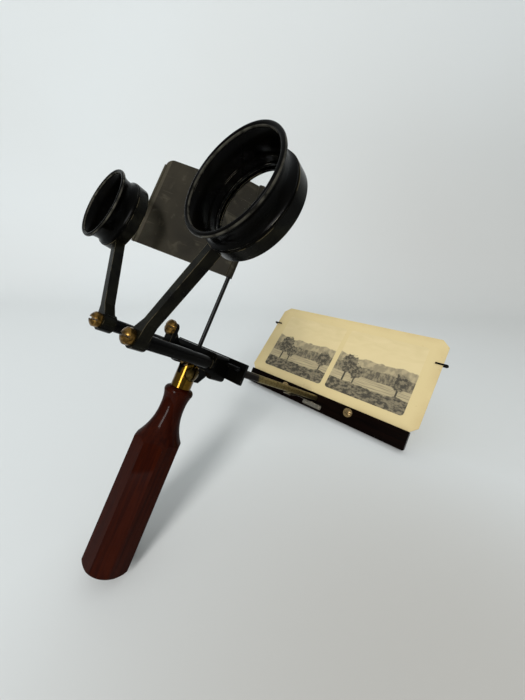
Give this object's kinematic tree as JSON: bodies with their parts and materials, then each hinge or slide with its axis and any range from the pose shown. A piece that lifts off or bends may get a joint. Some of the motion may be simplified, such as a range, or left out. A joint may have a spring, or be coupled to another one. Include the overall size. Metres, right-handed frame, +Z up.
{
  "type": "stereoscope",
  "caption": "Folding hand stereoscope: lens eye cups on swinging arms, turning septum, octagonal wooden handle, and a card carrier that slides on a brass rail.",
  "frame": {"origin": "middle of the standing viewer's box, on the table", "axes": "+Z up, +Y from the viewer's eyes towards the card, +X to the viewer's right; the rail slopes down towards +Y"},
  "size_m": [0.186, 0.2688, 0.1917],
  "materials": {
    "black_lacquer": "glossy black lacquer, worn at the edges",
    "septum_sheet": "dull dark paint with scuffs",
    "screw_brass": "aged, patinated",
    "rail_brass": "aged, blackened near the crosshead",
    "ferrule_brass": "polished",
    "steel": "bright, lightly worn",
    "wire": "blackened wire",
    "mahogany": "glossy varnish",
    "dark_wood": "dark stained and polished",
    "glass": "clear polished",
    "card": "matte board with a printed picture pair"
  },
  "bodies": {
    "frame": {"crosshead_block": "black_lacquer", "back_plate": "black_lacquer", "plate_screw_left": "screw_brass", "plate_screw_right": "screw_brass", "rail_pin": "black_lacquer", "barrel_left": "black_lacquer", "barrel_right": "black_lacquer", "arm_screw_left": "screw_brass", "arm_screw_right": "screw_brass", "arm_washer_left": "screw_brass", "arm_washer_right": "screw_brass", "front_lug": "black_lacquer", "lug_screw": "screw_brass", "handle_bracket": "black_lacquer", "rail": "rail_brass", "rail_stop_screw": "screw_brass"},
    "arm_left": {"lens_arm_left": "black_lacquer", "lens_left": "glass", "lens_ring_left": "screw_brass", "eye_cup_left": "black_lacquer"},
    "arm_right": {"lens_arm_right": "black_lacquer", "lens_right": "glass", "lens_ring_right": "screw_brass", "eye_cup_right": "black_lacquer"},
    "septum": {"septum_post": "septum_sheet", "septum_plate": "septum_sheet"},
    "handle": {"handle_ferrule": "ferrule_brass", "handle_grip": "mahogany", "pivot_screw": "screw_brass"},
    "carrier": {"card_bar": "dark_wood", "bar_screw_left": "screw_brass", "bar_screw_right": "screw_brass", "wire_clip_left": "wire", "wire_clip_right": "wire", "friction_spring": "steel", "spring_screw_left": "steel", "spring_screw_right": "steel"},
    "card": {"stereo_card": "card"}
  },
  "joints": [
    {"name": "arm_left_swing", "type": "hinge", "parent": "frame", "child": "arm_left", "pos_m": [-0.015, -0.10149, 0.11733], "axis": [0, 0.8503, -0.5262], "range_deg": [-60, 27]},
    {"name": "arm_right_swing", "type": "hinge", "parent": "frame", "child": "arm_right", "pos_m": [0.015, -0.10149, 0.11733], "axis": [0, 0.8503, -0.5262], "range_deg": [-27, 60]},
    {"name": "septum_turn", "type": "hinge", "parent": "frame", "child": "septum", "pos_m": [0, -0.06728, 0.09734], "axis": [0, 0.5262, 0.8503], "range_deg": [-250, 5]},
    {"name": "handle_fold", "type": "hinge", "parent": "frame", "child": "handle", "pos_m": [0, -0.07333, 0.08956], "axis": [1, 0, 0], "range_deg": [-90, 0]},
    {"name": "focus_slide", "type": "slide", "parent": "frame", "child": "carrier", "axis": [0, 0.8503, -0.5262], "range_m": [-0.085, 0]},
    {"name": "card_lift", "type": "slide", "parent": "carrier", "child": "card", "axis": [0, 0.72, 0.694], "range_m": [0, 0.095]}
  ]
}
